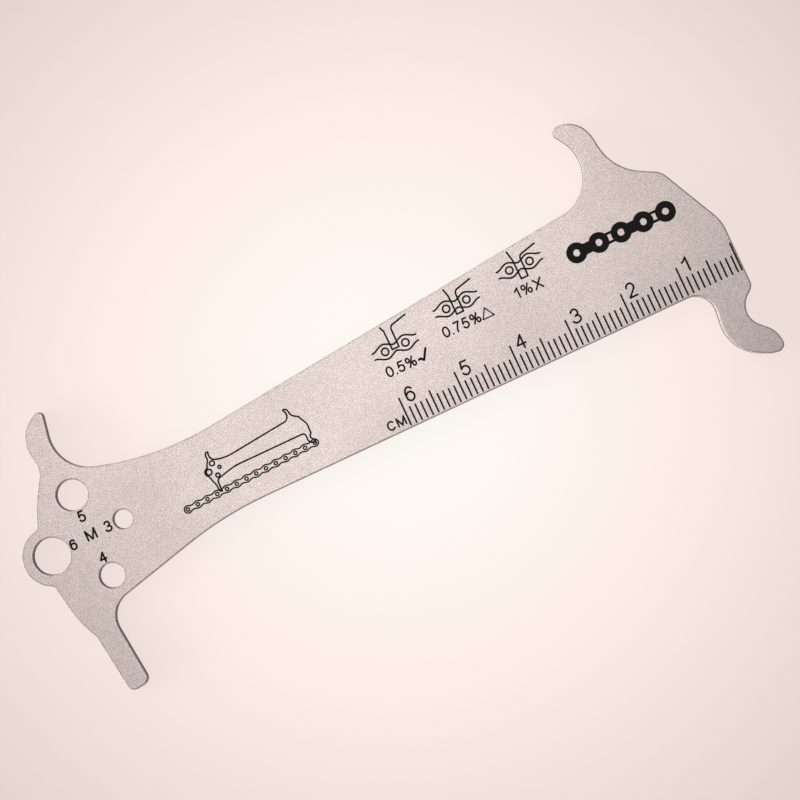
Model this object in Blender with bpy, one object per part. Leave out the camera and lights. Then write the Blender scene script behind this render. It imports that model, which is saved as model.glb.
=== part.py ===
"""Chain wear gauge: one flat stainless plate with hooks, a measuring leg and four bolt-size holes.

The outline is drawn in a datum frame in millimetres. Its x runs along the ruler edge and is 0 at the
square end where the ruler starts, with the rest of the gauge at negative x. Its y is 0 on the ruler edge.
The plate is then set so that the origin is under the middle of its bounding box.
"""

import math

import bpy
from mathutils import Vector

MM = 0.001

# Sheet
PLATE_THICKNESS = 2.0
EDGE_ROUND = 0.3
EDGE_STEPS = 2
ARC_SAGITTA = 0.008
POINT_GAP = 0.01

# Square end, where the ruler starts
END_DROP = 2.6
END_RISE = 9.2
END_LOWER_RADIUS = 1.7
END_UPPER_RADIUS = 6.7
SHOULDER_BACK = 5.6
SHOULDER_HEIGHT = 20.6
SHOULDER_RADIUS = 3.1

# Front hook, which stands on the top edge near the square end and points back
FRONT_HOOK_AT = 13.4
FRONT_HOOK_WIDTH = 3.55
FRONT_HOOK_TOP = 34.6
FRONT_HOOK_NOSE = 2.95
FRONT_HOOK_FLANK_HEIGHT = 31.0
FRONT_HOOK_FLANK_RADIUS = 5.7
FRONT_HOOK_CROWN_BACK = 1.6
FRONT_HOOK_CROWN_RADIUS = 4.6
FRONT_HOOK_NOSE_RADIUS = 1.1
FRONT_HOOK_THROAT_HEIGHT = 30.3
FRONT_HOOK_THROAT_RADIUS = 7.1
FRONT_HOOK_ROOT_FLARE = 0.8
FRONT_HOOK_ROOT_HEIGHT = 24.4
FRONT_HOOK_ROOT_RADIUS = 8.5
FRONT_HOOK_HEEL_HEIGHT = 21.75
FRONT_HOOK_HEEL_RADIUS = 6.9

# Tail, placed from the centre of its largest hole
TAIL_AT = 122.5
TAIL_HEIGHT = 5.9
LOBE_WALL = 1.9
LOBE_TOP_ANGLE = 94.8
LOBE_BOTTOM_ANGLE = 248.8
LOBE_CREASE_RADIUS = 0.7

# Narrow neck of the top edge, before it sweeps up to the back hook
NECK_AHEAD = 22.1
NECK_HEIGHT = 13.25
NECK_RADIUS = 50.0

# Back hook, which stands over the tail and points forward
BACK_HOOK_ROOT_AHEAD = 6.7
BACK_HOOK_ROOT_HEIGHT = 18.2
BACK_HOOK_ROOT_RADIUS = 6.7
BACK_HOOK_NOSE_AHEAD = 8.7
BACK_HOOK_TOP = 28.8
BACK_HOOK_NOSE_RADIUS = 0.8
BACK_HOOK_CROWN_AHEAD = 3.2
BACK_HOOK_CROWN_HEIGHT = 26.4
BACK_HOOK_CROWN_RADIUS = 5.3
BACK_HOOK_WAIST_AHEAD = 4.2
BACK_HOOK_WAIST_HEIGHT = 19.5
BACK_HOOK_WAIST_RADIUS = 3.7

# The back edge, which bulges a little between the back hook and the lobe
BACK_EDGE_AHEAD = 1.2
BACK_EDGE_HEIGHT = 14.6
BACK_EDGE_RADIUS = 13.3

# Measuring leg, which drops between the chain's rollers
HIP_BEHIND = 0.7
HIP_DROP = 5.4
HIP_RADIUS = 17.8
LEG_TOP_AHEAD = 1.0
LEG_TOP_DROP = 9.2
LEG_TOP_RADIUS = 0.5
LEG_WIDTH = 3.7
LEG_LEAN = 1.3
LEG_REACH = 19.8
LEG_TIP_SLANT = 0.4
LEG_TIP_RADIUS = 1.3
LEG_ROOT_DROP = 5.8
LEG_ROOT_RADIUS = 4.3
KNEE_AHEAD = 28.4
KNEE_RADIUS = 61.7

# Foot, which hangs under the square end and curls forward
FOOT_ROOT_BACK = 6.6
FOOT_ROOT_RADIUS = 3.4
FOOT_HEEL_BACK = 7.9
FOOT_HEEL_DROP = 11.0
FOOT_HEEL_RADIUS = 7.0
FOOT_SOLE_BACK = 1.7
FOOT_SOLE_DROP = 14.0
FOOT_SOLE_RADIUS = 3.1
FOOT_TOE_AHEAD = 1.0
FOOT_TOE_DROP = 14.5
FOOT_TOE_RADIUS = 1.3
FOOT_INSTEP_AHEAD = 0.5
FOOT_INSTEP_DROP = 10.8
FOOT_INSTEP_RADIUS = 4.5
FOOT_WAIST_BACK = 2.8
FOOT_WAIST_DROP = 7.5
FOOT_WAIST_RADIUS = 3.3
FOOT_THROAT_BACK = 2.4
FOOT_THROAT_DROP = 4.5
FOOT_THROAT_RADIUS = 3.7

# Bolt-size holes: nominal bolt diameters, and centres as seen from the tail's largest hole
BOLT_CLEARANCE = 0.1
M6_BOLT = 6.0
M5_BOLT = 5.0
M5_OFFSET = (7.2, 7.7)
M4_BOLT = 4.0
M4_OFFSET = (7.6, -7.0)
M3_BOLT = 3.0
M3_OFFSET = (13.1, 0.6)


def clear_scene():
    for thing in list(bpy.data.objects):
        bpy.data.objects.remove(thing, do_unlink=True)


def steel_material():
    steel = bpy.data.materials.new("satin_stainless_steel")
    steel.use_nodes = True
    shader = steel.node_tree.nodes["Principled BSDF"]
    shader.inputs["Base Color"].default_value = (0.62, 0.58, 0.56, 1.0)
    shader.inputs["Metallic"].default_value = 1.0
    shader.inputs["Roughness"].default_value = 0.38
    return steel


def tail_point(ahead, height):
    """A point placed along the gauge from the tail's largest hole, and up from the ruler edge."""
    return (ahead - TAIL_AT, height)


def arc_points(centre, radius, start, sweep):
    """Points of an arc, close enough together that no chord strays further than ARC_SAGITTA."""
    step = 2.0 * math.acos(1.0 - min(ARC_SAGITTA / radius, 0.5))
    count = max(2, math.ceil(abs(sweep) / step))
    angles = [start + sweep * i / count for i in range(count + 1)]
    return [centre + radius * Vector((math.cos(a), math.sin(a))) for a in angles]


def bore_radius(bolt):
    return (bolt + BOLT_CLEARANCE) / 2.0


def end_corners():
    return [
        (0.0, -END_DROP, END_LOWER_RADIUS),
        (0.0, END_RISE, END_UPPER_RADIUS),
        (-SHOULDER_BACK, SHOULDER_HEIGHT, SHOULDER_RADIUS),
    ]


def front_hook_corners():
    front = -FRONT_HOOK_AT
    back = front - FRONT_HOOK_WIDTH
    return [
        (front + FRONT_HOOK_ROOT_FLARE, FRONT_HOOK_ROOT_HEIGHT, FRONT_HOOK_ROOT_RADIUS),
        (front, FRONT_HOOK_FLANK_HEIGHT, FRONT_HOOK_FLANK_RADIUS),
        (front - FRONT_HOOK_CROWN_BACK, FRONT_HOOK_TOP, FRONT_HOOK_CROWN_RADIUS),
        (back - FRONT_HOOK_NOSE, FRONT_HOOK_TOP, FRONT_HOOK_NOSE_RADIUS),
        (back, FRONT_HOOK_THROAT_HEIGHT, FRONT_HOOK_THROAT_RADIUS),
        (back, FRONT_HOOK_HEEL_HEIGHT, FRONT_HOOK_HEEL_RADIUS),
    ]


def back_hook_corners():
    return [
        (*tail_point(NECK_AHEAD, NECK_HEIGHT), NECK_RADIUS),
        (*tail_point(BACK_HOOK_ROOT_AHEAD, BACK_HOOK_ROOT_HEIGHT), BACK_HOOK_ROOT_RADIUS),
        (*tail_point(BACK_HOOK_NOSE_AHEAD, BACK_HOOK_TOP), BACK_HOOK_NOSE_RADIUS),
        (*tail_point(BACK_HOOK_CROWN_AHEAD, BACK_HOOK_CROWN_HEIGHT), BACK_HOOK_CROWN_RADIUS),
        (*tail_point(BACK_HOOK_WAIST_AHEAD, BACK_HOOK_WAIST_HEIGHT), BACK_HOOK_WAIST_RADIUS),
        (*tail_point(BACK_EDGE_AHEAD, BACK_EDGE_HEIGHT), BACK_EDGE_RADIUS),
    ]


def lobe_corners():
    """The round lobe about the largest hole. Only its two creases are rounded."""
    centre = Vector(tail_point(0.0, TAIL_HEIGHT))
    start = math.radians(LOBE_TOP_ANGLE)
    sweep = math.radians(LOBE_BOTTOM_ANGLE - LOBE_TOP_ANGLE)
    points = arc_points(centre, bore_radius(M6_BOLT) + LOBE_WALL, start, sweep)
    last = len(points) - 1
    return [(p.x, p.y, LOBE_CREASE_RADIUS if i in (0, last) else 0.0) for i, p in enumerate(points)]


def leg_corners():
    top = LEG_TOP_AHEAD
    foot = top + LEG_LEAN
    return [
        (*tail_point(-HIP_BEHIND, -HIP_DROP), HIP_RADIUS),
        (*tail_point(top, -LEG_TOP_DROP), LEG_TOP_RADIUS),
        (*tail_point(foot, -LEG_REACH), LEG_TIP_RADIUS),
        (*tail_point(foot + LEG_WIDTH, LEG_TIP_SLANT - LEG_REACH), LEG_TIP_RADIUS),
        (*tail_point(top + LEG_WIDTH, -LEG_ROOT_DROP), LEG_ROOT_RADIUS),
        (*tail_point(KNEE_AHEAD, 0.0), KNEE_RADIUS),
    ]


def foot_corners():
    return [
        (-FOOT_ROOT_BACK, 0.0, FOOT_ROOT_RADIUS),
        (-FOOT_HEEL_BACK, -FOOT_HEEL_DROP, FOOT_HEEL_RADIUS),
        (-FOOT_SOLE_BACK, -FOOT_SOLE_DROP, FOOT_SOLE_RADIUS),
        (FOOT_TOE_AHEAD, -FOOT_TOE_DROP, FOOT_TOE_RADIUS),
        (FOOT_INSTEP_AHEAD, -FOOT_INSTEP_DROP, FOOT_INSTEP_RADIUS),
        (-FOOT_WAIST_BACK, -FOOT_WAIST_DROP, FOOT_WAIST_RADIUS),
        (-FOOT_THROAT_BACK, -FOOT_THROAT_DROP, FOOT_THROAT_RADIUS),
    ]


def half_turn(before, corner, after):
    """Half of the angle between the two edges that meet at a corner."""
    return (before - corner).angle(after - corner) / 2.0


def rounded_outline(corners):
    """The closed path through the corners, with each corner replaced by an arc of its radius.

    Where two neighbouring arcs would need more than the edge between them, both shrink to share it.
    """
    places = [Vector(corner[:2]) for corner in corners]
    count = len(places)
    halves = [half_turn(places[i - 1], places[i], places[(i + 1) % count]) for i in range(count)]
    reach = [corners[i][2] / math.tan(halves[i]) for i in range(count)]
    share = [1.0] * count
    for i in range(count):
        following = (i + 1) % count
        edge = (places[following] - places[i]).length
        wanted = reach[i] + reach[following]
        if wanted > edge:
            share[i] = min(share[i], edge / wanted)
            share[following] = min(share[following], edge / wanted)
    path = []
    for i in range(count):
        radius = corners[i][2] * share[i]
        if radius == 0.0:
            path.append(places[i])
            continue
        to_before = (places[i - 1] - places[i]).normalized()
        to_after = (places[(i + 1) % count] - places[i]).normalized()
        centre = places[i] + (to_before + to_after).normalized() * radius / math.sin(halves[i])
        first = places[i] + to_before * radius / math.tan(halves[i]) - centre
        last = places[i] + to_after * radius / math.tan(halves[i]) - centre
        start = math.atan2(first.y, first.x)
        path.extend(arc_points(centre, radius, start, -first.angle_signed(last)))
    return [p for i, p in enumerate(path) if (p - path[i - 1]).length > POINT_GAP]


def gauge_outline():
    corners = end_corners() + front_hook_corners() + back_hook_corners()
    corners += lobe_corners() + leg_corners() + foot_corners()
    return rounded_outline(corners)


def bore_outlines():
    holes = [
        (M6_BOLT, (0.0, 0.0)),
        (M5_BOLT, M5_OFFSET),
        (M4_BOLT, M4_OFFSET),
        (M3_BOLT, M3_OFFSET),
    ]
    outlines = []
    for bolt, offset in holes:
        centre = Vector(tail_point(offset[0], TAIL_HEIGHT + offset[1]))
        circle = arc_points(centre, bore_radius(bolt), 0.0, math.tau)
        outlines.append(circle[:-1])
    return outlines


def add_path(curve, points, shift):
    spline = curve.splines.new("POLY")
    spline.points.add(len(points) - 1)
    for slot, point in zip(spline.points, points):
        place = (point - shift) * MM
        slot.co = (place.x, place.y, 0.0, 1.0)
    spline.use_cyclic_u = True


def gauge_plate(collection):
    outline = gauge_outline()
    low = Vector((min(p.x for p in outline), min(p.y for p in outline)))
    high = Vector((max(p.x for p in outline), max(p.y for p in outline)))
    middle = (low + high) / 2.0

    curve = bpy.data.curves.new("gauge_plate", "CURVE")
    curve.dimensions = "2D"
    curve.fill_mode = "BOTH"
    curve.render_resolution_u = 0
    for points in [outline] + bore_outlines():
        add_path(curve, points, middle)

    # The rounded rim: the bevel reaches EDGE_ROUND out from a path that is drawn in by as much.
    curve.bevel_depth = EDGE_ROUND * MM
    curve.bevel_resolution = EDGE_STEPS
    curve.offset = -EDGE_ROUND * MM
    curve.extrude = (PLATE_THICKNESS / 2.0 - EDGE_ROUND) * MM

    plate = bpy.data.objects.new("gauge_plate", curve)
    plate.location = (0.0, 0.0, PLATE_THICKNESS / 2.0 * MM)
    collection.objects.link(plate)
    weld = plate.modifiers.new("close_caps", "WELD")
    weld.merge_threshold = 0.000001
    curve.materials.append(steel_material())
    return plate


def main():
    clear_scene()
    collection = bpy.data.collections.new("chain_wear_gauge")
    bpy.context.scene.collection.children.link(collection)
    gauge_plate(collection)


main()
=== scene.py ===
"""Looks of the chain wear gauge: a satin stainless plate with dark marks, on a pale studio floor."""
import math

import bmesh
import bpy
from mathutils import Euler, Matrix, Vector
from mathutils.geometry import delaunay_2d_cdt

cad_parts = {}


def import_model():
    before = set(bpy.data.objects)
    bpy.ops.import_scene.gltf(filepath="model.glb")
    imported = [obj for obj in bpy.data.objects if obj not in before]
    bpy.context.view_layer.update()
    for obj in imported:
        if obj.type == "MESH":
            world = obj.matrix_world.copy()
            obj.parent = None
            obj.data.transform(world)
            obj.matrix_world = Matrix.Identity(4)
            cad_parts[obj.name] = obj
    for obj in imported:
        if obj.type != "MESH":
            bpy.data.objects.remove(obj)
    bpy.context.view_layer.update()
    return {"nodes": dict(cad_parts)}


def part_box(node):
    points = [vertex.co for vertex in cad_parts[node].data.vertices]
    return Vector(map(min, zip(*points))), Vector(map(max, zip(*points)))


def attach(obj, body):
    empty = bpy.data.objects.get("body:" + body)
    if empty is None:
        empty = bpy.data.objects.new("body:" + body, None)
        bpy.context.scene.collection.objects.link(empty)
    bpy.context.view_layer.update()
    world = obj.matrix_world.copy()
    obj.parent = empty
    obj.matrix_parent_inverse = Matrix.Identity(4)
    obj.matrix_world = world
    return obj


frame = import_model()

# Lengths below are in millimetres, unless a name or a comment says metres.
MM = 0.001

# The marks are placed from the ruler's zero: x along the ruler edge, y up from it.
# The zero is found from the right end and the front of the plate's own box.
ZERO_FROM_RIGHT = 0.93
ZERO_FROM_FRONT = 19.93
plate_low, plate_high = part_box("gauge_plate")
MARK_ZERO = Vector((
    plate_high.x - ZERO_FROM_RIGHT * MM,
    plate_low.y + ZERO_FROM_FRONT * MM,
    plate_high.z,
))

# The plate's rounded rim, as the solid has it. The lower the power, the later its shading turns.
EDGE_ROUND = 0.3
RIM_TURN_POWER = 0.28

# Corners of the plate's faces that lie this close are one point, and a face whose normal has a z above
# FLAT_FACING belongs to a flat.
PLATE_WELD = 0.001
FLAT_FACING = 0.999

# Marks: a thin dark skin on the steel, with its foot sunk in
MARK_PROUD = 0.012
MARK_SUNK = 0.02
MARK_WELD = 0.0005

# Pens. An arc has a point at least every ARC_STEP, a round end has CAP_SIDES sides, and a mitre is at
# most 1 / MITRE_LIMIT times half the pen.
FINE_PEN = 0.3
BOLD_PEN = 0.33
ARC_STEP = math.radians(15.0)
CAP_SIDES = 6
MITRE_LIMIT = 0.4
LETTER_GAP = 0.24

# Ruler
CENTIMETRE = 10
RULER_LENGTH = 60
TICK_FOOT = 0.1
TICK_TOP = 3.15
TICK_TOP_5 = 4.15
TICK_TOP_10 = 5.15
FIRST_TICK_INSET = 0.3
NUMBER_HEIGHT = 2.6
NUMBER_FOOT = 3.65
NUMBER_GAP = 1.06

# Unit letters: where they start and stand
UNIT_PLACE = (-63.74, 0.6)
UNIT_HEIGHT = 1.68
UNIT_GAP = 0.3

# Bolt sizes: the digit or letter, where it starts and stands, and its height
BOLT_SIZES = (
    ("5", -115.78, 8.56, 1.97),
    ("6", -118.96, 4.96, 1.9),
    ("M", -115.92, 5.24, 1.97),
    ("3", -112.55, 5.28, 1.95),
    ("4", -115.49, 0.98, 1.97),
)

# Wear labels: the text, where it starts and stands, its pen and the gap between its letters.
# The signs "v" and "^" are a tick and a triangle.
WEAR_LABEL_HEIGHT = 1.9
WEAR_LABELS = (
    ("0.5%", -60.15, 8.63, FINE_PEN, LETTER_GAP),
    ("v", -54.54, 8.66, 0.4, LETTER_GAP),
    ("0.75%", -49.05, 10.6, FINE_PEN, LETTER_GAP),
    ("^", -42.2, 10.68, 0.22, LETTER_GAP),
    ("1%", -35.7, 11.42, 0.28, 0.42),
    ("X", -32.26, 11.42, FINE_PEN, LETTER_GAP),
)

# Wear drawings: the middle of each, how deep the gauge's leg sits in it, and the height where the
# leg's line stops. It stops on the flat, short of the plate's rounded top edge.
WEAR_DRAWINGS = (
    (-56.98, 12.83, 0.15, 16.75),
    (-44.98, 14.96, 1.5, 17.98),
    (-32.97, 16.28, 2.05, 19.2),
)
ROLLER_FROM_MIDDLE = 1.82
ROLLER_RADIUS = 0.6
LINK_REACH = 3.9
LINK_STEP = 0.3
LINK_HALF_HEIGHT = 0.9
LINK_WAVE = 0.36
LINK_WAVE_LENGTH = 4.1

# The sketch of the gauge in use: this plate's own outline, drawn small, over a run of chain
SKETCH_SCALE = 0.146
SKETCH_ZERO = Vector((-75.35, 6.4))
SKETCH_PEN = 0.28
SKETCH_POINT_GAP = 1.6
CHAIN_FIRST = Vector((-98.9, 3.18))
CHAIN_LAST = Vector((-75.5, 4.28))
CHAIN_PINS = 14
CHAIN_PIN_RADIUS = 0.27
CHAIN_HALF_HEIGHT = 0.48
CHAIN_WAVE = 0.12
CHAIN_WAVE_STEPS = 6
CHAIN_PEN = 0.25

# The plain run of chain on the head: rollers, joined by a wide link and two narrow bars by turns.
# A link or bar starts and ends so far from the middles of its rollers.
MOTIF_START = (-23.6, 14.2)
MOTIF_PITCH = 4.0
MOTIF_ROLLERS = 5
MOTIF_ROLLER_RADIUS = 1.15
MOTIF_ROLLER_PEN = 1.15
MOTIF_LINK_FROM_ROLLER = 1.4
MOTIF_LINK_PEN = 1.9
MOTIF_BAR_FROM_ROLLER = 1.3
MOTIF_BAR_FROM_MIDDLE = 0.75
MOTIF_BAR_PEN = 0.45

# Camera: straight above the plate, rolled so that the ruler rises to the right
CAMERA_DISTANCE = 350.0
CAMERA_TARGET = (3.23, -2.52)
CAMERA_ROLL = math.radians(25.1)
VIEW_WIDTH = 130.72
SENSOR_WIDTH = 36.0
CLIP_START = 10.0
CLIP_END = 20000.0

IMAGE_RIGHT = Vector((math.cos(CAMERA_ROLL), -math.sin(CAMERA_ROLL), 0.0))
IMAGE_UP = Vector((math.sin(CAMERA_ROLL), math.cos(CAMERA_ROLL), 0.0))

# Noise textures: most of their values lie in this range. Their scales are in waves for each metre.
NOISE_RANGE = (0.3, 0.7)
NOISE_DETAIL = 2.0

# Steel. Its face has a fine grain with a little coarse grain in it. The two shades are the shares of
# the colour that the grain darkens and lightens it to.
STEEL_COLOUR = (0.668, 0.572, 0.541)
GRAIN_SCALE = 5000.0
GRAIN_ROUGHNESS = 0.6
GRAIN_SHARE = 0.86
COARSE_SCALE = 1300.0
CLOUD_SCALE = 60.0
FACE_SHADES = (0.57, 1.43)
FACE_ROUGHNESS = (0.29, 0.34)
GRAIN_BUMP_STRENGTH = 0.3
GRAIN_BUMP_METRES = 0.00001

# The sheet was punched out: its wall is grey where the punch cut it. Lower down the wall is near-black,
# partly the rough zone where the metal broke away and partly painted shade, the contact shadow where
# the plate meets the floor. This dark band starts and is whole at these heights above the underside.
SHEARED_COLOUR = (0.29, 0.25, 0.236)
SHEARED_SHADES = (0.8, 1.2)
BROKEN_AND_SHADE_COLOUR = (0.05, 0.043, 0.041)
BREAK_AND_SHADE_TOP = 1.6
BREAK_AND_SHADE_FULL = 1.3

# The wall starts and is whole at these values of the normal's z. It is duller than the face.
WALL_START = 0.97
WALL_FULL = 0.8
WALL_ROUGHER = 0.3
WALL_LESS_METALLIC = 0.9

# Dark marking
MARK_COLOUR = (0.005, 0.004, 0.004)
MARK_GRAIN_SCALE = 4000.0
MARK_SHADES = (0.7, 1.4)
MARK_ROUGHNESS = (0.5, 0.65)
MARK_SPECULAR = 0.15

# Floor: rings of colour round the middle of the picture, darker outward, which are a painted fall-off
# of light; and the share of its own light
FLOOR_SIZE_METRES = 4.0
FLOOR_DROP_METRES = 0.00003
FLOOR_COLOUR = (0.974, 0.948, 0.898)
FLOOR_INNER_PAINTED_FALLOFF = (0.974, 0.924, 0.868)
FLOOR_MIDWAY_PAINTED_FALLOFF = (0.955, 0.814, 0.774)
FLOOR_EDGE_PAINTED_FALLOFF = (0.745, 0.632, 0.591)
FLOOR_INNER = 20.0
FLOOR_MIDWAY = 50.0
FLOOR_EDGE = 95.0
FLOOR_GLOW = 0.9
FLOOR_ROUGHNESS = 0.9
FLOOR_SPECULAR = 0.1

# The studio round the plate, by the way a ray goes: 1 is level towards the bright side, 0 is level away
# from it, and 0.5 is at right angles to both, such as straight up.
STUDIO_TINT = (1.0, 0.99, 0.98)
DARK_SIDE = 0.22
STUDIO_LEVEL = 0.25
BRIGHT_SIDE = 1.3
DARK_SIDE_END = 0.09
LEVEL_START = 0.3
LEVEL_END = 0.7
BRIGHT_SIDE_START = 0.92
BRIGHT_SIDE_TURN = math.radians(-22.0)


def arc(cx, cy, rx, ry, start, end):
    """Points of an elliptic arc, from start to end in degrees."""
    sweep = math.radians(end - start)
    count = max(2, math.ceil(abs(sweep) / ARC_STEP))
    angles = [math.radians(start) + sweep * i / count for i in range(count + 1)]
    return [(cx + rx * math.cos(a), cy + ry * math.sin(a)) for a in angles]


def ring(cx, cy, rx, ry):
    """A closed round line, as the two halves of it."""
    return [arc(cx, cy, rx, ry, 0.0, 180.0), arc(cx, cy, rx, ry, 180.0, 360.0)]


def cap(centre, outward, radius):
    """The round end of a stroke, counter-clockwise about its centre."""
    start = math.atan2(outward.y, outward.x) - math.pi / 2.0
    angles = [start + math.pi * i / CAP_SIDES for i in range(CAP_SIDES + 1)]
    return [centre + radius * Vector((math.cos(a), math.sin(a))) for a in angles]


def stroke(points, pen):
    """The outline of a pen stroke along the points, with mitred bends and round ends."""
    path = [Vector(p) for p in points]
    half = pen / 2.0
    ways = [(b - a).normalized() for a, b in zip(path, path[1:])]
    right, left = [], []
    for i in range(1, len(path) - 1):
        normal_in = Vector((-ways[i - 1].y, ways[i - 1].x))
        normal_out = Vector((-ways[i].y, ways[i].x))
        middle = (normal_in + normal_out).normalized()
        reach = half / max(middle.dot(normal_in), MITRE_LIMIT)
        left.append(path[i] + middle * reach)
        right.append(path[i] - middle * reach)
    return cap(path[0], -ways[0], half) + right + cap(path[-1], ways[-1], half) + left[::-1]


# Lettering: for each glyph its width and the lines of its pen, in units of the glyph's height
GLYPHS = {
    "0": (0.62, ring(0.31, 0.5, 0.31, 0.5)),
    "1": (0.36, [[(0.36, 0.0), (0.36, 1.0)], [(0.0, 0.71), (0.2, 0.82), (0.36, 1.0)]]),
    "2": (0.58, [
        arc(0.28, 0.71, 0.27, 0.29, 172.0, -38.0) + [(0.0, 0.0)],
        [(0.0, 0.0), (0.58, 0.0)],
    ]),
    "3": (0.58, [
        arc(0.27, 0.745, 0.25, 0.255, 160.0, -90.0),
        arc(0.27, 0.27, 0.31, 0.27, 80.0, -162.0),
    ]),
    "4": (0.62, [
        [(0.44, 0.0), (0.44, 1.0)],
        [(0.44, 1.0), (0.0, 0.32)],
        [(0.0, 0.32), (0.62, 0.32)],
    ]),
    "5": (0.58, [
        [(0.53, 1.0), (0.12, 1.0), (0.03, 0.5)],
        arc(0.28, 0.32, 0.3, 0.32, 143.0, -155.0),
    ]),
    "6": (0.6, ring(0.3, 0.32, 0.29, 0.32) + [
        arc(0.32, 0.52, 0.31, 0.48, 42.0, 180.0) + [(0.01, 0.34)],
    ]),
    "7": (0.56, [
        [(0.0, 1.0), (0.56, 1.0)],
        [(0.56, 1.0), (0.34, 0.62), (0.22, 0.3), (0.18, 0.0)],
    ]),
    "%": (0.96, ring(0.19, 0.75, 0.18, 0.23) + ring(0.77, 0.25, 0.18, 0.23) + [
        [(0.22, 0.0), (0.74, 1.0)],
    ]),
    ".": (0.0, [[(0.0, 0.0), (0.0, 0.02)]]),
    "C": (0.8, [arc(0.42, 0.5, 0.42, 0.5, 42.0, 318.0)]),
    "M": (0.94, [
        [(0.0, 0.0), (0.0, 1.0)],
        [(0.0, 1.0), (0.47, 0.02)],
        [(0.47, 0.02), (0.94, 1.0)],
        [(0.94, 1.0), (0.94, 0.0)],
    ]),
    "X": (0.82, [[(0.0, 0.0), (0.82, 1.0)], [(0.0, 1.0), (0.82, 0.0)]]),
    "v": (1.15, [[(0.0, 0.3), (0.2, 0.36), (0.5, 0.06)], [(0.5, 0.06), (1.15, 1.15)]]),
    "^": (1.2, [
        [(0.0, 0.0), (1.2, 0.0)],
        [(1.2, 0.0), (0.6, 1.0)],
        [(0.6, 1.0), (0.0, 0.0)],
    ]),
}


def lettering(text, x, y, height, pen, gap=LETTER_GAP):
    """The strokes of a text whose ink starts at x and stands on y. Letters are gap apart."""
    unit = height - pen
    outlines = []
    for letter in text:
        width, lines = GLYPHS[letter]
        for line in lines:
            placed = [(x + pen / 2.0 + px * unit, y + pen / 2.0 + py * unit) for px, py in line]
            outlines.append(stroke(placed, pen))
        x += width * unit + pen + gap
    return outlines


def mark(name, outlines, material):
    """One thin closed skin over the union of the outlines, on the plate's marked face."""
    points, loops = [], []
    for outline in outlines:
        loops.append(list(range(len(points), len(points) + len(outline))))
        points.extend(Vector((p[0], p[1])) for p in outline)
    flat, _, triangles, _, _, owners = delaunay_2d_cdt(points, [], loops, 0, MARK_WELD)
    kept = [t for t, owner in zip(triangles, owners) if owner]

    shape = bmesh.new()
    levels = (-MARK_SUNK, MARK_PROUD)
    low, high = [[shape.verts.new((p.x * MM, p.y * MM, z * MM)) for p in flat] for z in levels]
    edges = {}  # a dict, because a set doesn't keep their order
    for a, b, c in kept:
        if (flat[b] - flat[a]).cross(flat[c] - flat[a]) < 0.0:
            b, c = c, b
        shape.faces.new((high[a], high[b], high[c]))
        shape.faces.new((low[a], low[c], low[b]))
        edges.update(dict.fromkeys(((a, b), (b, c), (c, a))))
    for a, b in edges:
        if (b, a) not in edges:
            shape.faces.new((high[b], high[a], low[a], low[b]))
    bmesh.ops.delete(shape, geom=[v for v in shape.verts if not v.link_faces], context="VERTS")

    mesh = bpy.data.meshes.new(name)
    shape.to_mesh(mesh)
    shape.free()
    mesh.materials.append(material)
    piece = bpy.data.objects.new(name, mesh)
    piece.location = MARK_ZERO
    bpy.context.scene.collection.objects.link(piece)
    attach(piece, "root")
    return piece


def ruler_ticks():
    """A tick for each millimetre, taller at fives and tens. The one at zero is set in from the end."""
    outlines = []
    for step in range(RULER_LENGTH + 1):
        if step % CENTIMETRE == 0:
            top = TICK_TOP_10
        elif step % (CENTIMETRE // 2) == 0:
            top = TICK_TOP_5
        else:
            top = TICK_TOP
        x = -float(step) if step else -FIRST_TICK_INSET
        ends = [(x, TICK_FOOT + FINE_PEN / 2.0), (x, top - FINE_PEN / 2.0)]
        outlines.append(stroke(ends, FINE_PEN))
    return outlines


def ruler_numbers():
    outlines = []
    for number in range(1, RULER_LENGTH // CENTIMETRE + 1):
        x = NUMBER_GAP - CENTIMETRE * number
        outlines += lettering(str(number), x, NUMBER_FOOT, NUMBER_HEIGHT, BOLD_PEN)
    return outlines


def unit_letters():
    return lettering("CM", *UNIT_PLACE, UNIT_HEIGHT, FINE_PEN, UNIT_GAP)


def bolt_sizes():
    outlines = []
    for letter, x, y, height in BOLT_SIZES:
        outlines += lettering(letter, x, y, height, BOLD_PEN)
    return outlines


def wear_labels():
    outlines = []
    for text, x, y, pen, gap in WEAR_LABELS:
        outlines += lettering(text, x, y, WEAR_LABEL_HEIGHT, pen, gap)
    return outlines


# The gauge's leg in a wear drawing, from the middle of its foot: the top and the bend of its left side,
# and its right side, which rises into a shoulder
LEG_HALF_WIDTH = 0.6
LEG_TOP_X = -1.0
LEG_BEND = (-0.65, 3.3)
LEG_SHOULDER = arc(1.3, 3.0, 0.68, 0.75, 180.0, 100.0) + [(3.7, 4.35)]


def wear_drawing(x, y, sink, top):
    """Two rollers in their link plates, with the gauge's leg let down between them by sink."""
    lines = []
    for way in (-1.0, 1.0):
        lines += ring(x + way * ROLLER_FROM_MIDDLE, y, ROLLER_RADIUS, ROLLER_RADIUS)
    for side in (1.0, -1.0):
        plate_edge = []
        for i in range(round(2.0 * LINK_REACH / LINK_STEP) + 1):
            u = -LINK_REACH + LINK_STEP * i
            wave = math.cos(math.tau * (abs(u) - ROLLER_FROM_MIDDLE) / LINK_WAVE_LENGTH)
            plate_edge.append((x + u, y + side * (LINK_HALF_HEIGHT + LINK_WAVE * wave)))
        lines.append(plate_edge)
    foot = y - sink
    foot_left, foot_right = (x - LEG_HALF_WIDTH, foot), (x + LEG_HALF_WIDTH, foot)
    lines.append([(x + LEG_TOP_X, top), (x + LEG_BEND[0], foot + LEG_BEND[1]), foot_left])
    lines.append([foot_left, foot_right])
    lines.append([foot_right] + [(x + px, foot + py) for px, py in LEG_SHOULDER])
    return [stroke(line, FINE_PEN) for line in lines]


def wear_drawings():
    outlines = []
    for x, y, sink, top in WEAR_DRAWINGS:
        outlines += wear_drawing(x, y, sink, top)
    return outlines


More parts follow.
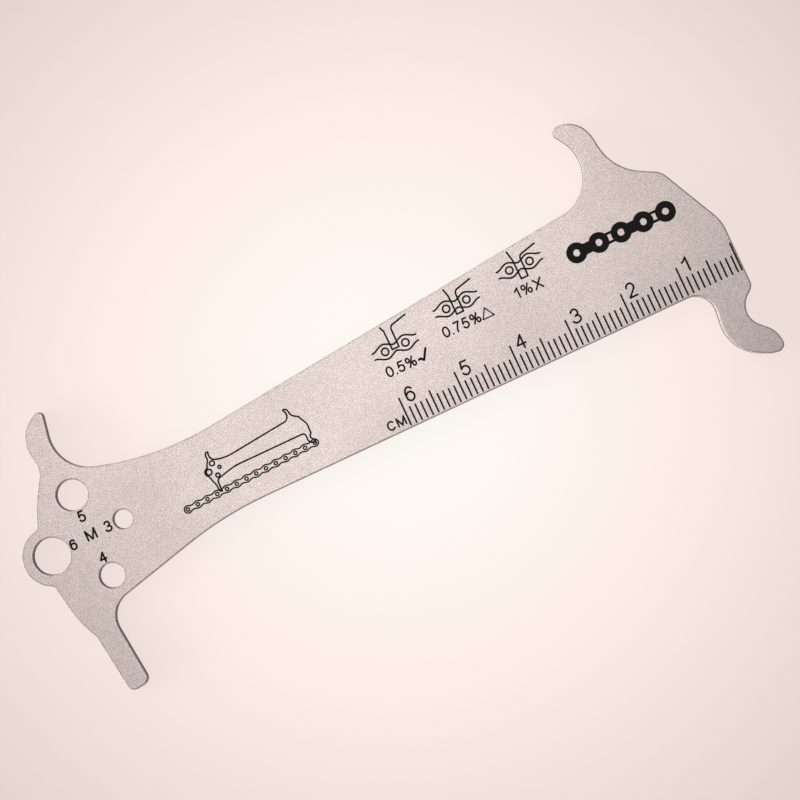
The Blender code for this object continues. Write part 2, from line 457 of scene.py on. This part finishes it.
def flat_edges():
    """The edges of the plate's marked flat, each a closed loop of points in the marks' millimetres.

    Corners are rounded to a micrometre, so that those of neighbouring faces match.
    """
    mesh = frame["nodes"]["gauge_plate"].data
    onward = {}
    for face in mesh.polygons:
        if face.normal.z > FLAT_FACING:
            corners = [tuple(round(c, 6) for c in mesh.vertices[v].co[:2]) for v in face.vertices]
            onward.update(dict.fromkeys(zip(corners, corners[1:] + corners[:1])))
    rims = {a: b for a, b in onward if (b, a) not in onward}
    loops = []
    while rims:
        loop = [next(iter(rims))]
        while loop[-1] in rims:
            loop.append(rims.pop(loop[-1]))
        loops.append([(Vector(p) - MARK_ZERO.xy) / MM for p in loop])
    return loops


def thin_out(points, gap):
    """The same path with its points at least gap apart, and both of its ends kept."""
    kept = [points[0]]
    for point in points[1:-1]:
        if (point - kept[-1]).length > gap:
            kept.append(point)
    return kept + [points[-1]]


def use_drawing():
    """A small gauge laid on a run of chain."""
    step = (CHAIN_LAST - CHAIN_FIRST) / (CHAIN_PINS - 1)
    across = Vector((-step.y, step.x)).normalized()
    lines = []
    for i in range(CHAIN_PINS):
        pin = CHAIN_FIRST + step * i
        lines += ring(pin.x, pin.y, CHAIN_PIN_RADIUS, CHAIN_PIN_RADIUS)
    for side in (1.0, -1.0):
        edge = []
        for i in range(CHAIN_WAVE_STEPS * (CHAIN_PINS - 1) + 1):
            along = i / CHAIN_WAVE_STEPS
            height = CHAIN_HALF_HEIGHT + CHAIN_WAVE * math.cos(math.tau * along)
            edge.append(tuple(CHAIN_FIRST + step * along + across * side * height))
        lines.append(edge)
    way = math.degrees(math.atan2(step.y, step.x))
    end_radius = CHAIN_HALF_HEIGHT + CHAIN_WAVE
    lines.append(arc(*CHAIN_FIRST, end_radius, end_radius, way + 90.0, way + 270.0))
    lines.append(arc(*CHAIN_LAST, end_radius, end_radius, way - 90.0, way + 90.0))
    outlines = [stroke(line, CHAIN_PEN) for line in lines]
    for loop in flat_edges():
        path = [SKETCH_ZERO + point * SKETCH_SCALE for point in thin_out(loop, SKETCH_POINT_GAP)]
        outlines += [stroke(piece, SKETCH_PEN) for piece in zip(path, path[1:])]
    return outlines


def chain_motif():
    """A plain run of roller chain, drawn solid: wide links and narrow bars by turns."""
    first, y = MOTIF_START
    rollers = [first + MOTIF_PITCH * i for i in range(MOTIF_ROLLERS)]
    outlines = []
    for x in rollers:
        for half in ring(x, y, MOTIF_ROLLER_RADIUS, MOTIF_ROLLER_RADIUS):
            outlines.append(stroke(half, MOTIF_ROLLER_PEN))
    for i, (x, onward) in enumerate(zip(rollers, rollers[1:])):
        if i % 2 == 0:
            ends = [(x + MOTIF_LINK_FROM_ROLLER, y), (onward - MOTIF_LINK_FROM_ROLLER, y)]
            outlines.append(stroke(ends, MOTIF_LINK_PEN))
        else:
            for level in (y + MOTIF_BAR_FROM_MIDDLE, y - MOTIF_BAR_FROM_MIDDLE):
                ends = [(x + MOTIF_BAR_FROM_ROLLER, level), (onward - MOTIF_BAR_FROM_ROLLER, level)]
                outlines.append(stroke(ends, MOTIF_BAR_PEN))
    return outlines


def shader_nodes(material):
    material.use_nodes = True
    tree = material.node_tree
    return tree, tree.nodes["Principled BSDF"]


def node_math(tree, operation, *values, kind="ShaderNodeMath"):
    """One maths node. Each value is a number, a vector or another node's socket."""
    node = tree.nodes.new(kind)
    node.operation = operation
    for slot, value in zip(node.inputs, values):
        if isinstance(value, bpy.types.NodeSocket):
            tree.links.new(value, slot)
        else:
            slot.default_value = value
    return next(output for output in node.outputs if output.enabled)


def vector_math(tree, operation, *values):
    """One vector maths node, whose values are as node_math's."""
    return node_math(tree, operation, *values, kind="ShaderNodeVectorMath")


def z_of(tree, vector):
    """The z of a vector socket."""
    node = tree.nodes.new("ShaderNodeSeparateXYZ")
    tree.links.new(vector, node.inputs[0])
    return node.outputs["Z"]


def map_range(tree, value, source, target=(0.0, 1.0)):
    """Maps a value from the source range to the target range, and stops at its ends."""
    node = tree.nodes.new("ShaderNodeMapRange")
    node.inputs["From Min"].default_value, node.inputs["From Max"].default_value = source
    node.inputs["To Min"].default_value, node.inputs["To Max"].default_value = target
    tree.links.new(value, node.inputs["Value"])
    return node.outputs["Result"]


def noise(tree, scale, roughness=0.5):
    """A noise texture in the object's own metres."""
    place = tree.nodes.new("ShaderNodeTexCoord")
    texture = tree.nodes.new("ShaderNodeTexNoise")
    texture.inputs["Scale"].default_value = scale
    texture.inputs["Detail"].default_value = NOISE_DETAIL
    texture.inputs["Roughness"].default_value = roughness
    tree.links.new(place.outputs["Object"], texture.inputs["Vector"])
    return texture.outputs["Fac"]


def blend_colours(tree, factor, first, second):
    """A mix of two colours. Each is three numbers or another node's socket."""
    node = tree.nodes.new("ShaderNodeMix")
    node.data_type = "RGBA"
    for slot, colour in (("A", first), ("B", second)):
        if isinstance(colour, bpy.types.NodeSocket):
            tree.links.new(colour, node.inputs[slot])
        else:
            node.inputs[slot].default_value = (*colour, 1.0)
    tree.links.new(factor, node.inputs["Factor"])
    return node.outputs["Result"]


def mottled(tree, pattern, colour, shades):
    """The colour, darkened to its first share and lightened to its second by a noise."""
    darker, lighter = [tuple(c * share for c in colour) for share in shades]
    return blend_colours(tree, map_range(tree, pattern, NOISE_RANGE), darker, lighter)


def add_bump(tree, shader, height, distance, strength):
    bump = tree.nodes.new("ShaderNodeBump")
    bump.inputs["Strength"].default_value = strength
    bump.inputs["Distance"].default_value = distance
    tree.links.new(height, bump.inputs["Height"])
    tree.links.new(bump.outputs["Normal"], shader.inputs["Normal"])


def satin_steel():
    """Grainy satin steel, with the punched sheet's darker and duller wall, whose lower part is painted
    shade as well as broken metal.

    The bump is shading alone: it shades the grain as a relief of a hundredth of a millimetre.
    """
    material = bpy.data.materials.new("satin_steel")
    tree, shader = shader_nodes(material)
    grain = noise(tree, GRAIN_SCALE, GRAIN_ROUGHNESS)
    coarse = noise(tree, COARSE_SCALE)
    cloud = noise(tree, CLOUD_SCALE)
    coarse_part = node_math(tree, "MULTIPLY", coarse, 1.0 - GRAIN_SHARE)
    mixed = node_math(tree, "MULTIPLY_ADD", grain, GRAIN_SHARE, coarse_part)
    face = mottled(tree, mixed, STEEL_COLOUR, FACE_SHADES)
    sheared = mottled(tree, coarse, SHEARED_COLOUR, SHEARED_SHADES)

    height = z_of(tree, tree.nodes.new("ShaderNodeTexCoord").outputs["Object"])
    # Painted shade: the wall darkens to near-black towards the floor, partly broken metal and partly a
    # painted contact shadow.
    break_and_shade_heights = (plate_low.z + BREAK_AND_SHADE_TOP * MM, plate_low.z + BREAK_AND_SHADE_FULL * MM)
    broken_and_shade = map_range(tree, height, break_and_shade_heights)
    wall_colour = blend_colours(tree, broken_and_shade, sheared, BROKEN_AND_SHADE_COLOUR)

    facing = z_of(tree, tree.nodes.new("ShaderNodeNewGeometry").outputs["Normal"])
    wall = map_range(tree, node_math(tree, "ABSOLUTE", facing), (WALL_START, WALL_FULL))
    colour = blend_colours(tree, wall, face, wall_colour)
    face_roughness = map_range(tree, cloud, NOISE_RANGE, FACE_ROUGHNESS)
    roughness = node_math(tree, "MULTIPLY_ADD", wall, WALL_ROUGHER, face_roughness)
    metallic = node_math(tree, "MULTIPLY_ADD", wall, -WALL_LESS_METALLIC, 1.0)
    tree.links.new(colour, shader.inputs["Base Color"])
    tree.links.new(roughness, shader.inputs["Roughness"])
    tree.links.new(metallic, shader.inputs["Metallic"])
    add_bump(tree, shader, grain, GRAIN_BUMP_METRES, GRAIN_BUMP_STRENGTH)
    return material


def dark_marking():
    """The matt near-black of the marks."""
    material = bpy.data.materials.new("dark_marking")
    tree, shader = shader_nodes(material)
    grain = noise(tree, MARK_GRAIN_SCALE)
    tree.links.new(mottled(tree, grain, MARK_COLOUR, MARK_SHADES), shader.inputs["Base Color"])
    roughness = map_range(tree, grain, NOISE_RANGE, MARK_ROUGHNESS)
    tree.links.new(roughness, shader.inputs["Roughness"])
    shader.inputs["Specular IOR Level"].default_value = MARK_SPECULAR
    return material


def on_domain(tree, domain, vector):
    """A vector field taken once for each point or face of the mesh."""
    node = tree.nodes.new("GeometryNodeFieldOnDomain")
    node.data_type = "FLOAT_VECTOR"
    node.domain = domain
    tree.links.new(vector, node.inputs[0])
    return node.outputs[0]


def upward(tree, z):
    """A vector straight up or down, of length z."""
    node = tree.nodes.new("ShaderNodeCombineXYZ")
    tree.links.new(z, node.inputs["Z"])
    return node.outputs[0]


def rim_normals():
    """Nodes that shade the rim as a round that turns late, and leave both flat faces exactly flat.

    A rim point leans as far from the flat as its height says, towards the side that it faces. A low
    power of the height keeps most of the turn next to the wall, as on a lightly tumbled edge.
    """
    tree = bpy.data.node_groups.new("rim_normals", "GeometryNodeTree")
    tree.interface.new_socket("Geometry", in_out="INPUT", socket_type="NodeSocketGeometry")
    tree.interface.new_socket("Geometry", in_out="OUTPUT", socket_type="NodeSocketGeometry")
    source = tree.nodes.new("NodeGroupInput")
    result = tree.nodes.new("NodeGroupOutput")
    weld = tree.nodes.new("GeometryNodeMergeByDistance")
    weld.inputs["Distance"].default_value = PLATE_WELD * MM
    tree.links.new(source.outputs[0], weld.inputs["Geometry"])

    # Upright is 0 on the wall and 1 where the rim meets the flat, and outward makes the length 1.
    height = z_of(tree, tree.nodes.new("GeometryNodeInputPosition").outputs[0])
    from_middle = node_math(tree, "SUBTRACT", height, (plate_low.z + plate_high.z) / 2.0)
    side = node_math(tree, "SIGN", from_middle)
    wall_half = (plate_high.z - plate_low.z) / 2.0 - EDGE_ROUND * MM
    over = node_math(tree, "SUBTRACT", node_math(tree, "ABSOLUTE", from_middle), wall_half)
    upright = node_math(tree, "DIVIDE", over, EDGE_ROUND * MM)
    upright = node_math(tree, "MINIMUM", node_math(tree, "MAXIMUM", upright, 0.0), 1.0)
    upright = node_math(tree, "POWER", upright, RIM_TURN_POWER)
    squared = node_math(tree, "MULTIPLY", upright, upright)
    outward = node_math(tree, "SQRT", node_math(tree, "SUBTRACT", 1.0, squared))

    smooth = on_domain(tree, "POINT", tree.nodes.new("GeometryNodeInputNormal").outputs[0])
    level = vector_math(tree, "MULTIPLY", smooth, (1.0, 1.0, 0.0))
    level = vector_math(tree, "NORMALIZE", level)
    leaning = tree.nodes.new("ShaderNodeVectorMath")
    leaning.operation = "SCALE"
    tree.links.new(level, leaning.inputs[0])
    tree.links.new(outward, leaning.inputs["Scale"])
    lift = upward(tree, node_math(tree, "MULTIPLY", upright, side))
    rim = vector_math(tree, "ADD", leaning.outputs[0], lift)

    true_normal = tree.nodes.new("GeometryNodeInputNormal").outputs["True Normal"]
    facing = z_of(tree, on_domain(tree, "FACE", true_normal))
    flat = node_math(tree, "GREATER_THAN", node_math(tree, "ABSOLUTE", facing), FLAT_FACING)
    choose = tree.nodes.new("GeometryNodeSwitch")
    choose.input_type = "VECTOR"
    tree.links.new(flat, choose.inputs["Switch"])
    tree.links.new(rim, choose.inputs["False"])
    tree.links.new(upward(tree, side), choose.inputs["True"])

    smoothed = tree.nodes.new("GeometryNodeSetShadeSmooth")
    tree.links.new(weld.outputs["Geometry"], smoothed.inputs["Geometry"])
    normals = tree.nodes.new("GeometryNodeSetMeshNormal")
    normals.mode = "FREE"
    normals.domain = "CORNER"
    tree.links.new(smoothed.outputs["Geometry"], normals.inputs["Mesh"])
    tree.links.new(choose.outputs["Output"], normals.inputs["Custom Normal"])
    tree.links.new(normals.outputs["Mesh"], result.inputs[0])
    return tree


def finish_plate(material):
    """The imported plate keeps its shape, and takes the steel and the rim's shading."""
    plate = frame["nodes"]["gauge_plate"]
    plate.data.materials.clear()
    plate.data.materials.append(material)
    plate.modifiers.new("rim_normals", "NODES").node_group = rim_normals()


def floor():
    """A pale floor that keeps the plate's shadow, and shows most of its own colour to the camera. Its
    colour darkens in rings outward: painted light fall-off.
    """
    drop = (0.0, 0.0, -FLOOR_DROP_METRES)
    bpy.ops.mesh.primitive_plane_add(size=FLOOR_SIZE_METRES, location=drop)
    ground = bpy.context.object
    ground.name = "studio_floor"
    material = bpy.data.materials.new("pale_floor")
    tree, shader = shader_nodes(material)
    shader.inputs["Roughness"].default_value = FLOOR_ROUGHNESS
    shader.inputs["Specular IOR Level"].default_value = FLOOR_SPECULAR

    place = tree.nodes.new("ShaderNodeTexCoord")
    x, y = CAMERA_TARGET
    distance = vector_math(tree, "DISTANCE", place.outputs["Object"], (x * MM, y * MM, 0.0))
    # Painted light fall-off: the floor's colour darkens in rings away from the middle of the picture.
    ramp = tree.nodes.new("ShaderNodeValToRGB")
    tree.links.new(node_math(tree, "DIVIDE", distance, FLOOR_EDGE * MM), ramp.inputs["Fac"])
    stops = ramp.color_ramp.elements
    stops[0].color = (*FLOOR_COLOUR, 1.0)
    stops[1].color = (*FLOOR_EDGE_PAINTED_FALLOFF, 1.0)
    stops.new(FLOOR_INNER / FLOOR_EDGE).color = (*FLOOR_INNER_PAINTED_FALLOFF, 1.0)
    stops.new(FLOOR_MIDWAY / FLOOR_EDGE).color = (*FLOOR_MIDWAY_PAINTED_FALLOFF, 1.0)
    colour = ramp.outputs["Color"]
    tree.links.new(colour, shader.inputs["Base Color"])

    glow = tree.nodes.new("ShaderNodeEmission")
    tree.links.new(colour, glow.inputs["Color"])
    rays = tree.nodes.new("ShaderNodeLightPath").outputs
    seen = node_math(tree, "MAXIMUM", rays["Is Camera Ray"], rays["Is Glossy Ray"])
    seen = node_math(tree, "MAXIMUM", seen, rays["Is Transmission Ray"])
    mix = tree.nodes.new("ShaderNodeMixShader")
    tree.links.new(node_math(tree, "MULTIPLY", seen, FLOOR_GLOW), mix.inputs["Fac"])
    tree.links.new(shader.outputs["BSDF"], mix.inputs[1])
    tree.links.new(glow.outputs["Emission"], mix.inputs[2])
    output = next(n for n in tree.nodes if n.type == "OUTPUT_MATERIAL")
    tree.links.new(mix.outputs["Shader"], output.inputs["Surface"])
    ground.data.materials.append(material)


def world():
    """A dim studio, bright low on the picture's left and slightly darker low on its right."""
    scene_world = bpy.data.worlds.new("studio")
    bpy.context.scene.world = scene_world
    scene_world.use_nodes = True
    tree = scene_world.node_tree
    back = tree.nodes["Background"]
    back.inputs["Color"].default_value = (*STUDIO_TINT, 1.0)
    bright_way = IMAGE_UP * math.sin(BRIGHT_SIDE_TURN) - IMAGE_RIGHT * math.cos(BRIGHT_SIDE_TURN)
    place = tree.nodes.new("ShaderNodeTexCoord")
    toward = vector_math(tree, "DOT_PRODUCT", place.outputs["Generated"], bright_way)
    ramp = tree.nodes.new("ShaderNodeValToRGB")
    tree.links.new(node_math(tree, "MULTIPLY_ADD", toward, 0.5, 0.5), ramp.inputs["Fac"])
    stops = ramp.color_ramp.elements
    stops[0].color = (DARK_SIDE, DARK_SIDE, DARK_SIDE, 1.0)
    stops[0].position = DARK_SIDE_END
    stops[1].color = (BRIGHT_SIDE, BRIGHT_SIDE, BRIGHT_SIDE, 1.0)
    stops[1].position = BRIGHT_SIDE_START
    for position in (LEVEL_START, LEVEL_END):
        stops.new(position).color = (STUDIO_LEVEL, STUDIO_LEVEL, STUDIO_LEVEL, 1.0)
    tree.links.new(ramp.outputs["Color"], back.inputs["Strength"])

    pale = tree.nodes.new("ShaderNodeBackground")
    pale.inputs["Color"].default_value = (*FLOOR_COLOUR, 1.0)
    pale.inputs["Strength"].default_value = 1.0
    rays = tree.nodes.new("ShaderNodeLightPath").outputs
    mix = tree.nodes.new("ShaderNodeMixShader")
    tree.links.new(rays["Is Camera Ray"], mix.inputs["Fac"])
    tree.links.new(back.outputs["Background"], mix.inputs[1])
    tree.links.new(pale.outputs["Background"], mix.inputs[2])
    output = next(n for n in tree.nodes if n.type == "OUTPUT_WORLD")
    tree.links.new(mix.outputs["Shader"], output.inputs["Surface"])


def softbox(name, right, up, height, width, depth, radiance, turn=None, mirrored=True):
    """A soft lamp placed as the photograph sees it, in metres.

    It hangs level, turned by so many radians in the picture, or is aimed at the plate. One that isn't
    mirrored lights the floor and the sheared walls, and leaves no glint on the rounded edges.
    """
    lamp = bpy.data.lights.new(name, "AREA")
    lamp.shape = "RECTANGLE"
    lamp.size = width
    lamp.size_y = depth
    lamp.energy = radiance * math.pi * width * depth
    holder = bpy.data.objects.new(name, lamp)
    holder.visible_glossy = mirrored
    holder.location = IMAGE_RIGHT * right + IMAGE_UP * up + Vector((0.0, 0.0, height))
    if turn is None:
        holder.rotation_euler = (-holder.location).to_track_quat("-Z", "Y").to_euler()
    else:
        holder.rotation_euler = Euler((0.0, 0.0, turn - CAMERA_ROLL))
    bpy.context.scene.collection.objects.link(holder)


def softboxes():
    """A level one overhead, two low ones that light walls and floor, and one high behind."""
    softbox(
        "overhead_softbox", right=-0.033, up=0.043, height=0.55,
        width=0.3, depth=0.358, radiance=1.26, turn=-0.6,
    )
    softbox(
        "left_softbox", right=-0.72, up=-0.2, height=0.1,
        width=0.7, depth=0.18, radiance=56.0, mirrored=False,
    )
    softbox(
        "front_softbox", right=-0.1, up=-0.79, height=0.12,
        width=0.8, depth=0.2, radiance=8.0, mirrored=False,
    )
    softbox(
        "back_softbox", right=-0.3, up=0.66, height=0.5,
        width=0.8, depth=0.4, radiance=2.6,
    )


def camera():
    """The photograph's view, from straight above."""
    data = bpy.data.cameras.new("view_from_above")
    data.sensor_width = SENSOR_WIDTH
    data.lens = SENSOR_WIDTH * CAMERA_DISTANCE / VIEW_WIDTH
    data.clip_start = CLIP_START * MM
    data.clip_end = CLIP_END * MM
    holder = bpy.data.objects.new("view_from_above", data)
    x, y = CAMERA_TARGET
    holder.location = Vector((x * MM, y * MM, plate_high.z + CAMERA_DISTANCE * MM))
    holder.rotation_euler = Euler((0.0, 0.0, -CAMERA_ROLL))
    bpy.context.scene.collection.objects.link(holder)
    bpy.context.scene.camera = holder


camera()
world()
floor()
softboxes()

finish_plate(satin_steel())
ink = dark_marking()
mark("ruler_ticks", ruler_ticks(), ink)
mark("ruler_numbers", ruler_numbers(), ink)
mark("unit_letters", unit_letters(), ink)
mark("bolt_size_marks", bolt_sizes(), ink)
mark("wear_drawings", wear_drawings(), ink)
mark("wear_labels", wear_labels(), ink)
mark("use_drawing", use_drawing(), ink)
mark("chain_motif", chain_motif(), ink)

bpy.context.scene.view_settings.view_transform = "Standard"
